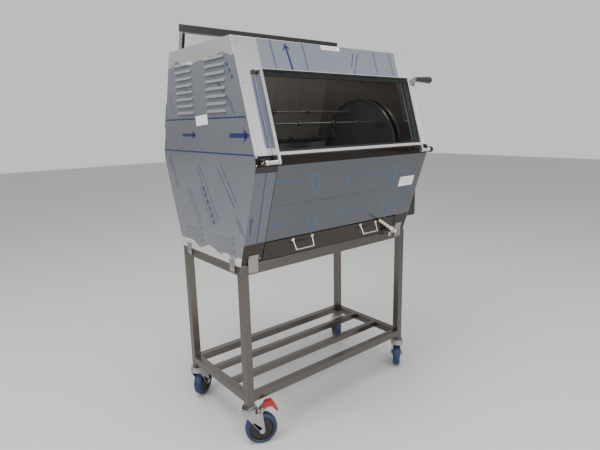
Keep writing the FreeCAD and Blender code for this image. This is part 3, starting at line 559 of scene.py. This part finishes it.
@dataclass
class InkSheet:
    """Gathers flat printed marks on one face and makes them one piece.

    Attributes:
        name: Name of the piece.
        face: The face it lies on.
        material: Its material.
        lift: Height above the face, in metres.
    """

    name: str
    face: Face3
    material: bpy.types.Material
    lift: float = LIFT
    verts: list = field(default_factory=list)
    polys: list = field(default_factory=list)

    def poly(self, points) -> None:
        """Add one flat polygon.

        Args:
            points: (u, v) pairs in millimetres.
        """
        start = len(self.verts)
        self.verts += [self.face.at(u, v, self.lift) for u, v in points]
        self.polys.append(tuple(range(start, start + len(points))))

    def stroke(self, a, b, width: float) -> None:
        """Add a straight stroke from a to b."""
        du, dv = b[0] - a[0], b[1] - a[1]
        length = math.hypot(du, dv) or 1.0
        ox, oy = -dv / length * width / 2, du / length * width / 2
        self.poly([(a[0] + ox, a[1] + oy), (b[0] + ox, b[1] + oy),
                   (b[0] - ox, b[1] - oy), (a[0] - ox, a[1] - oy)])

    def dashes(self, a, b, width: float, step: float, fill: float = 0.7) -> None:
        """Add a row of short strokes, as a plain dashed line."""
        length = math.hypot(b[0] - a[0], b[1] - a[1])
        count = max(1, int(length / step))
        for i in range(count):
            if (i * 7) % 11 == 5:
                continue
            s, e = i / count, (i + fill) / count
            self.stroke((a[0] + (b[0] - a[0]) * s, a[1] + (b[1] - a[1]) * s),
                        (a[0] + (b[0] - a[0]) * e, a[1] + (b[1] - a[1]) * e), width)

    def arrow(self, tail, tip, shaft: float, head: float, barb: float) -> None:
        """Add a plain arrow.

        Args:
            tail: Start point.
            tip: End point.
            shaft: Width of the shaft.
            head: Length of the head.
            barb: Half width of the head.
        """
        du, dv = tip[0] - tail[0], tip[1] - tail[1]
        length = math.hypot(du, dv)
        ux, uy = du / length, dv / length
        neck = (tip[0] - ux * head, tip[1] - uy * head)
        self.stroke(tail, (neck[0] + ux * head * 0.45, neck[1] + uy * head * 0.45), shaft)
        side = [(neck[0] - uy * barb * s, neck[1] + ux * barb * s) for s in (1, -1)]
        notch = (neck[0] + ux * head * 0.35, neck[1] + uy * head * 0.35)
        self.poly([side[0], tip, notch])
        self.poly([side[1], notch, tip])

    def finish(self, body: str = "cabinet") -> bpy.types.Object:
        """Make the piece and let it ride on a body."""
        mesh = bpy.data.meshes.new(self.name)
        mesh.from_pydata([tuple(v) for v in self.verts], [], self.polys)
        mesh.materials.append(self.material)
        obj = bpy.data.objects.new(self.name, mesh)
        bpy.context.scene.collection.objects.link(obj)
        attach(obj, body)
        return obj


class Printer:
    """Prints the film's plain arrows and lines, and sticks the blank labels on."""

    def __init__(self, cabinet: Cabinet, shop: Shop) -> None:
        """Keep the faces and materials."""
        self.cab = cabinet
        self.shop = shop

    def side(self, face: Face3, name: str) -> None:
        """Print the side panel's film: two long lines, two arrows and slanting dashed rows."""
        ink = InkSheet(name + "_film_arrows", face, self.shop.get("ink"))
        edge = self.cab.depth / MM - 6
        for z in (1231, 1110):
            half = edge - 0.30 * max(0, z - 1108)
            ink.stroke((-half, z), (half, z), 5.0)
        ink.arrow((158, 1172), (44, 1172), 11, 34, 17)
        ink.arrow((-194, 1172), (-316, 1172), 15, 40, 23)
        ink.finish()
        faint = InkSheet(name + "_film_dashes", face, self.shop.get("ink_faint"))
        rows = (((-120, 1075), (-228, 930)), ((-104, 1050), (-205, 922)), ((55, 1045), (-70, 845)),
                ((40, 1062), (-88, 862)), ((300, 1075), (238, 960)), ((288, 1088), (222, 968)),
                ((150, 960), (62, 830)), ((132, 968), (44, 836)),
                ((-205, 895), (-245, 832)), ((-222, 890), (-258, 828)),
                ((252, 1330), (214, 1250)), ((-110, 1370), (-228, 1265)), ((-130, 1352), (-236, 1238)))
        for a, b in rows:
            faint.dashes(a, b, 5.0, 9.0)
        blocks = (((20, 980), (-58, 835)), ((128, 1385), (66, 1290)), ((-196, 1405), (-236, 1345)))
        for a, b in blocks:
            faint.dashes(a, b, 13.0, 24.0, 0.55)
            faint.stroke((a[0] + 22, a[1]), (b[0] + 22, b[1]), 2.2)
        faint.finish()

    def fascia(self) -> None:
        """Print the fascia's film: upright lines, one arrow and two dashed rows."""
        ink = InkSheet("fascia_film_arrows", self.cab.upper, self.shop.get("ink"))
        ink.arrow((-218, 108), (-232, 8), 9, 26, 19)
        ink.finish()
        thin = InkSheet("fascia_film_lines", self.cab.upper, self.shop.get("ink"))
        for x in (-292, -150, 222, 318):
            thin.stroke((x - 3, 2), (x + 3, 112), 3.2)
        thin.dashes((100, 22), (78, 78), 5.0, 9.0)
        thin.dashes((128, 20), (84, 104), 5.0, 9.0)
        thin.finish()
        strip = InkSheet("post_film", self.cab.upper, self.shop.get("film_bright"), 0.15 * MM)
        for s in (-1, 1):
            strip.poly([(s * 352, 126), (s * 402, 128), (s * 403, 366),
                        (s * 398, 376), (s * 384, 372), (s * 352, 378)])
        strip.finish()
        post = InkSheet("post_film_lines", self.cab.upper, self.shop.get("ink"), 0.32 * MM)
        for s in (-1, 1):
            post.stroke((s * 393, 132), (s * 390, 372), 4.0)
            post.stroke((s * 398.5, 150), (s * 396, 372), 1.6)
        post.finish()

    def lower(self) -> None:
        """Print the lower front's film: slanting pairs, ticks and dotted lines."""
        ink = InkSheet("lower_film_marks", self.cab.lower, self.shop.get("ink_light"))
        for row, s in enumerate((40.0, 205.0)):
            for x in (-210.0, 215.0):
                x0 = x + row * 26.0
                for shift, cut in ((0.0, 0.0), (30.0, 12.0), (44.0, 30.0)):
                    ink.stroke((x0 + shift, s + cut * 0.2), (x0 + shift + 46 - cut, s + 92 - cut), 3.0)
            for x in (-16.0, 330.0):
                x0 = x + row * 16.0
                ink.poly([(x0 - 4, s + 18), (x0 + 5, s + 20), (x0 + 11, s + 55), (x0 + 5, s + 50)])
                ink.stroke((x0 + 18, s + 44), (x0 + 46, s + 6), 2.5)
            for x in (-352.0, 70.0):
                x0 = x + row * 22.0
                ink.stroke((x0, s + 22), (x0 + 92, s + 20), 2.6)
                ink.poly([(x0 - 6, s + 22), (x0 + 2, s + 16), (x0 + 9, s + 21.5), (x0 + 2, s + 28)])
        ink.stroke((392, 150), (330, 232), 3.0)
        ink.stroke((398, 128), (344, 204), 3.0)
        ink.finish()
        line = InkSheet("lower_film_fold", self.cab.lower, self.shop.get("ink_faint"))
        line.stroke((-356, 152), (446, 152), 2.0)
        line.stroke((-402, 22), (-396, 292), 4.5)
        line.arrow((-430, 250), (-434, 180), 6, 24, 12)
        line.finish()

    def labels(self) -> None:
        """Stick the small blank labels on."""
        spots = (("side_label", self.cab.left, ((36, 1205), (40, 1240), (-47, 1246), (-51, 1211))),
                 ("front_label", self.cab.lower, ((314, 104), (408, 102), (410, 146), (316, 148))),
                 ("edge_label", self.cab.upper, ((-64, 2), (30, 2), (30, 18), (-64, 18))))
        for name, face, corners in spots:
            sheet = InkSheet(name, face, self.shop.get("paper"), 0.45 * MM)
            sheet.poly(corners)
            sheet.finish()
            marks = InkSheet(name + "_lines", face, self.shop.get("paper_mark"), 0.60 * MM)
            a, b, c, d = [Vector((*p, 0)) for p in corners]
            for row in (0.3, 0.5, 0.7):
                s, e = a.lerp(d, row), b.lerp(c, row)
                s2, e2 = s.lerp(e, 0.1), s.lerp(e, 0.9 - 0.15 * row)
                marks.stroke((s2.x, s2.y), (e2.x, e2.y), 1.6)
            marks.finish()


# ------------------------------------------------------------------ shaped pieces
class Maker:
    """Makes the pieces that stand for plain CAD nodes."""

    def __init__(self, shop: Shop) -> None:
        """Keep the materials and find which body each node rides on."""
        self.shop = shop
        bodies = frame["record"]["behaviour"]["bodies"]
        self.body = {node: body for body, nodes in bodies.items() for node in nodes}
        self.slots = {p["node"]: p["material_slot"] for p in frame["record"]["subparts"]}

    def softened(self, node: str, width: float, finish: str, segments: int = 3,
                 smooth: float = 35.0) -> bpy.types.Object:
        """Stand a copy with rounded edges in place of a CAD node.

        Args:
            node: CAD node name.
            width: Bevel width in millimetres.
            finish: Finish name.
            segments: Bevel segments.
            smooth: Angle below which an edge shades smooth, in degrees.

        Returns:
            The new piece.
        """
        mesh = frame["nodes"][node].data.copy()
        bm = bmesh.new()
        bm.from_mesh(mesh)
        bmesh.ops.remove_doubles(bm, verts=bm.verts, dist=1e-6)
        bmesh.ops.dissolve_limit(bm, angle_limit=math.radians(1.0), verts=bm.verts, edges=bm.edges)
        for face in bm.faces:
            face.smooth = True
        for edge in bm.edges:
            edge.smooth = edge.calc_face_angle(0.0) < math.radians(smooth)
        bm.to_mesh(mesh)
        bm.free()
        mesh.materials.clear()
        mesh.materials.append(self.shop.get(finish))
        obj = bpy.data.objects.new(node + "_shown", mesh)
        bpy.context.scene.collection.objects.link(obj)
        if width > 0:
            bevel = obj.modifiers.new("edges", "BEVEL")
            bevel.width = width * MM
            bevel.segments = segments
            bevel.limit_method = "ANGLE"
            bevel.angle_limit = math.radians(smooth)
            bevel.harden_normals = True
        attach(obj, self.body[node])
        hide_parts(node)
        return obj

    def lathe(self, name: str, profile: list, centre: Vector, axis: Vector, finish: str, body: str,
              segments: int = 64) -> bpy.types.Object:
        """Turn a profile about an axis.

        Args:
            name: Name of the piece.
            profile: (along, radius) pairs in metres.
            centre: Point on the axis where along = 0.
            axis: Unit axis.
            finish: Finish name.
            body: Body it rides on.
            segments: Number of steps round.

        Returns:
            The new piece.
        """
        side = axis.orthogonal().normalized()
        other = axis.cross(side)
        verts, faces = [], []
        for i in range(segments):
            a = 2 * math.pi * i / segments
            ray = side * math.cos(a) + other * math.sin(a)
            verts += [centre + axis * along + ray * radius for along, radius in profile]
        count = len(profile)
        for i in range(segments):
            j = (i + 1) % segments
            for k in range(count - 1):
                faces.append((i * count + k, i * count + k + 1, j * count + k + 1, j * count + k))
        mesh = bpy.data.meshes.new(name)
        mesh.from_pydata([tuple(v) for v in verts], [], faces)
        mesh.validate()
        bm = bmesh.new()
        bm.from_mesh(mesh)
        bmesh.ops.remove_doubles(bm, verts=bm.verts, dist=1e-6)
        bmesh.ops.recalc_face_normals(bm, faces=bm.faces)
        for face in bm.faces:
            face.smooth = True
        for edge in bm.edges:
            edge.smooth = edge.calc_face_angle(0.0) < math.radians(40)
        bm.to_mesh(mesh)
        bm.free()
        mesh.materials.append(self.shop.get(finish))
        obj = bpy.data.objects.new(name, mesh)
        bpy.context.scene.collection.objects.link(obj)
        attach(obj, body)
        return obj


TYRE_HALF_WIDTH = 17.0 * MM
WHEEL_STEPS = 96


def wheel_piece(maker: Maker, node: str) -> None:
    """Shape one castor wheel: a rounded blue tyre on a dished black centre.

    Args:
        maker: Makes the pieces.
        node: CAD node of the wheel.
    """
    body = maker.body[node]
    joint = next(j for j in frame["joints"] if j["child"] == body)
    centre, axis = Vector(joint["pos_m"]), Vector(joint["axis"]).normalized()
    low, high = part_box(node)
    radius = (high.z - low.z) / 2
    half = TYRE_HALF_WIDTH
    tread = [(-half + 0.001, radius - 0.012), (-half, radius - 0.010), (-half + 0.0008, radius - 0.006),
             (-half + 0.004, radius - 0.0018), (-half + 0.009, radius - 0.0003), (0.0, radius),
             (half - 0.009, radius - 0.0003), (half - 0.004, radius - 0.0018),
             (half - 0.0008, radius - 0.006),
             (half, radius - 0.010), (half - 0.001, radius - 0.012)]
    tyre = maker.lathe(node + "_tyre", tread, centre, axis, "tyre", body, WHEEL_STEPS)
    inner = radius - 0.012
    dish = [(half - 0.001, inner + 0.0005), (half - 0.002, inner - 0.001), (half - 0.002, inner - 0.005),
            (half - 0.0075, inner - 0.008), (half - 0.009, inner - 0.016), (half - 0.006, 0.0215),
            (half - 0.001, 0.0195), (half + 0.0025, 0.0180), (half + 0.0025, 0.0065)]
    front = maker.lathe(node + "_centre", dish, centre, axis, "nylon", body, WHEEL_STEPS)
    mirrored = [(-along, r) for along, r in dish]
    back = maker.lathe(node + "_centre_back", mirrored, centre, axis, "nylon", body, WHEEL_STEPS)
    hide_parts(node)


# ------------------------------------------------------------------ finishes by node
PLAIN_NODES = {
    "roof_panel": "bare_y", "base_pan": "bare_x",
    "front_lower_panel": "film_front", "front_fascia": "film_bright",
    "left_side_panel": "film_side", "right_side_panel": "film_side", "front_corner_plates": "film_corner",
    "rear_panels": "bare_x", "front_band": "mirror_painted_dark_reflection", "chamber_end_walls": "inner_bright",
    "ceiling_liner": "inner", "chamber_liners": "inner", "heating_elements": "heater", "chamber_lamp": "lamp",
    "rotor_shaft": "rotor", "spits": "rotor", "shaft_bearings": "rotor", "gear_motor": "motor",
    "tray_runners": "inner", "door_glass": "glass", "door_seal": "rubber", "screws": "zinc",
    "castor_heads": "zinc", "rotor_disc_left": "rotor", "rotor_disc_right": "rotor", "cable_gland": "black",
}
SOFT_NODES = {
    "stand_legs": (2.0, "tube_z"), "top_rails": (2.0, "tube_x"), "shelf_side_bars": (2.0, "tube_y"),
    "shelf_bars": (2.0, "tube_x"), "locating_tabs": (0.4, "tab_steel"), "hinge_brackets": (0.8, "dark_steel"),
    "hinge_pins": (0.6, "satin_bright"), "door_catch": (0.8, "rubber"), "door_frame": (1.6, "satin_bright"),
    "door_handle_arm": (0.8, "arm_steel"), "door_handle_grip": (1.5, "black"),
    "rear_upstand": (0.5, "bare_x"),
    "upstand_cap": (0.8, "powder"), "rear_buffers": (2.0, "rubber"), "drip_tray": (0.4, "dark_steel"),
    "tray_handles": (0.0, "satin_bright"), "drain_valve": (0.6, "zinc"), "drain_valve_lever": (0.8, "cream"),
    "control_box": (1.5, "powder"), "thermostat_knob": (1.0, "black"), "timer_knob": (1.0, "black"),
    "rotor_switch": (0.8, "black"), "castor_fl_fork": (0.8, "zinc"), "castor_fr_fork": (0.8, "zinc"),
    "castor_rl_fork": (0.8, "zinc"), "castor_rr_fork": (0.8, "zinc"), "castor_fl_pedal": (1.6, "red"),
    "castor_fr_pedal": (1.6, "red"),
    "front_left_post": (0.0, "post_mirror"), "front_right_post": (0.0, "post_mirror"),
}


def lever_collar(maker: Maker) -> None:
    """Put the pale collar on the tap lever, where its sleeve starts."""
    low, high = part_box("drain_valve_lever")
    joint = next(j for j in frame["joints"] if j["name"] == "drain_lever_turn")
    pivot = Vector(joint["pos_m"])
    tip = Vector((low.x + 0.003, 0.0, high.z - 0.005))
    along = Vector((tip.x - pivot.x, 0.0, tip.z - pivot.z)).normalized()
    start = Vector((pivot.x, low.y + 0.005, pivot.z)) + along * 0.024
    ring = [(0.0, 0.0042), (0.0, 0.0080), (0.0015, 0.0086),
            (0.0095, 0.0086), (0.011, 0.0080), (0.011, 0.0042)]
    collar = maker.lathe("drain_lever_collar", ring, start, along, "white", "drain_lever", 40)


def dress_nodes(shop: Shop, maker: Maker) -> None:
    """Give every CAD node its material or its rounded stand-in."""
    for name, node in frame["nodes"].items():
        finish = PLAIN_NODES.get(name, "bare_x")
        node.data.materials.clear()
        node.data.materials.append(shop.get(finish))
    for name, (width, finish) in SOFT_NODES.items():
        maker.softened(name, width, finish)
    for tag in ("fl", "fr", "rl", "rr"):
        wheel_piece(maker, f"castor_{tag}_wheel")
    lever_collar(maker)


# ------------------------------------------------------------------ stage
FLOOR_HALF = 14.0
CAMERA_PLACE = (-1.297, -1.594, 1.208)
CAMERA_TURN = (-39.25, -12.16, -1.29)
CAMERA_LENS = 28.4


def make_floor() -> None:
    """Lay a plain pale floor."""
    mesh = bpy.data.meshes.new("floor")
    size = FLOOR_HALF
    corners = [(-size, -size, 0), (size, -size, 0), (size, size, 0), (-size, size, 0)]
    mesh.from_pydata(corners, [], [(0, 1, 2, 3)])
    mat = bpy.data.materials.new("floor")
    mat.use_nodes = True
    bsdf = mat.node_tree.nodes["Principled BSDF"]
    bsdf.inputs["Base Color"].default_value = (0.60, 0.59, 0.58, 1.0)
    bsdf.inputs["Roughness"].default_value = 0.55
    mesh.materials.append(mat)
    floor = bpy.data.objects.new("floor", mesh)
    bpy.context.scene.collection.objects.link(floor)
    floor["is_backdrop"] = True


@dataclass(frozen=True)
class Softbox:
    """One rectangular light.

    Attributes:
        name: Light name.
        place: Position in metres.
        aim: Point it faces.
        size: Width and height.
        power: Watts.
        colour: Light colour.
    """

    name: str
    place: tuple
    aim: tuple
    size: tuple
    power: float
    colour: tuple = (1.0, 1.0, 1.0)


LIGHTS = (
    Softbox("ceiling", (-0.4, -0.6, 4.2), (0.0, 0.0, 0.9), (4.5, 3.0), 135.0, (1.0, 0.99, 0.97)),
    Softbox("left_wall", (-4.2, -0.4, 2.3), (0.0, 0.0, 1.1), (3.0, 2.0), 70.0, (0.97, 0.98, 1.0)),
    Softbox("front", (0.8, -4.6, 2.4), (0.0, 0.0, 0.9), (2.6, 1.8), 60.0, (1.0, 1.0, 1.0)),
    Softbox("low_front", (-0.9, -3.2, 1.0), (0.1, 0.1, 1.15), (1.4, 0.9), 34.0, (1.0, 0.95, 0.90)),
    Softbox("rake", (-1.5, -0.3, 3.4), (-0.45, 0.0, 0.9), (1.0, 0.2), 26.0, (1.0, 1.0, 1.0)),
    Softbox("chamber", (0.0, -0.17, 1.40), (0.0, 0.22, 1.02), (0.66, 0.06), 1.5, (1.0, 0.95, 0.90)),
)


def make_lights() -> None:
    """Place the soft lights."""
    for box in LIGHTS:
        light = bpy.data.lights.new(box.name, "AREA")
        light.shape = "RECTANGLE"
        light.size, light.size_y = box.size
        light.energy = box.power
        light.color = box.colour
        obj = bpy.data.objects.new(box.name, light)
        obj.location = box.place
        obj.rotation_euler = (Vector(box.aim) - Vector(box.place)).to_track_quat("-Z", "Y").to_euler()
        obj.visible_camera = False
        bpy.context.scene.collection.objects.link(obj)


def make_room() -> None:
    """Light the scene from all round: a dark floor, pale walls and uneven brightness in reflections."""
    world = bpy.data.worlds.new("room")
    bpy.context.scene.world = world
    world.use_nodes = True
    tree = world.node_tree
    back = tree.nodes["Background"]
    coord = tree.nodes.new("ShaderNodeTexCoord")
    parts = tree.nodes.new("ShaderNodeSeparateXYZ")
    ramp = tree.nodes.new("ShaderNodeValToRGB")
    shift = tree.nodes.new("ShaderNodeMapRange")
    shift.inputs["From Min"].default_value = -1.0
    tree.links.new(coord.outputs["Generated"], parts.inputs[0])
    tree.links.new(parts.outputs["Z"], shift.inputs["Value"])
    tree.links.new(shift.outputs["Result"], ramp.inputs["Fac"])
    stops = ramp.color_ramp.elements
    stops[0].position, stops[0].color = 0.0, (0.10, 0.095, 0.09, 1.0)
    stops[1].position, stops[1].color = 1.0, (0.85, 0.86, 0.88, 1.0)
    mid = stops.new(0.49)
    mid.color = (0.22, 0.21, 0.20, 1.0)
    wall = stops.new(0.52)
    wall.color = (0.62, 0.62, 0.63, 1.0)
    cloud = tree.nodes.new("ShaderNodeTexNoise")
    cloud.inputs["Scale"].default_value = 1.9
    cloud.inputs["Detail"].default_value = 1.5
    reach = tree.nodes.new("ShaderNodeMapRange")
    reach.inputs["From Min"].default_value = 0.32
    reach.inputs["From Max"].default_value = 0.68
    reach.inputs["To Min"].default_value = 0.42
    reach.inputs["To Max"].default_value = 1.35
    tree.links.new(coord.outputs["Generated"], cloud.inputs["Vector"])
    tree.links.new(cloud.outputs["Fac"], reach.inputs["Value"])
    tree.links.new(reach.outputs["Result"], back.inputs["Strength"])
    tree.links.new(ramp.outputs["Color"], back.inputs["Color"])
    seen = tree.nodes.new("ShaderNodeBackground")
    seen.inputs["Color"].default_value = (0.78, 0.78, 0.785, 1.0)
    seen.inputs["Strength"].default_value = 1.0
    path = tree.nodes.new("ShaderNodeLightPath")
    mix = tree.nodes.new("ShaderNodeMixShader")
    tree.links.new(path.outputs["Is Camera Ray"], mix.inputs[0])
    tree.links.new(back.outputs[0], mix.inputs[1])
    tree.links.new(seen.outputs[0], mix.inputs[2])
    tree.links.new(mix.outputs[0], tree.nodes["World Output"].inputs["Surface"])


def make_camera() -> None:
    """Place the camera for the main view: from the left front, a little above the door."""
    data = bpy.data.cameras.new("camera")
    data.lens = CAMERA_LENS
    data.sensor_width = 36.0
    data.sensor_fit = "HORIZONTAL"
    data.clip_end = 60.0
    cam = bpy.data.objects.new("camera", data)
    bpy.context.scene.collection.objects.link(cam)
    yaw, pitch, roll = (math.radians(angle) for angle in CAMERA_TURN)
    turn = (Matrix.Rotation(yaw, 4, "Z") @ Matrix.Rotation(math.pi / 2 + pitch, 4, "X")
            @ Matrix.Rotation(roll, 4, "Z"))
    cam.matrix_world = Matrix.Translation(CAMERA_PLACE) @ turn
    bpy.context.scene.camera = cam


def main() -> None:
    """Build the whole scene."""
    logging.basicConfig(level=logging.INFO)
    sizes: dict = {}
    note_size("start", sizes)
    shop = Shop()
    maker = Maker(shop)
    cabinet = Cabinet()
    dress_nodes(shop, maker)
    printer = Printer(cabinet, shop)
    printer.side(cabinet.left, "left")
    printer.side(cabinet.right, "right")
    printer.fascia()
    printer.lower()
    printer.labels()
    make_floor()
    make_lights()
    make_room()
    make_camera()
    note_size("end", sizes)
    LOG.info("scene built")


if __name__ == "__main__":
    main()
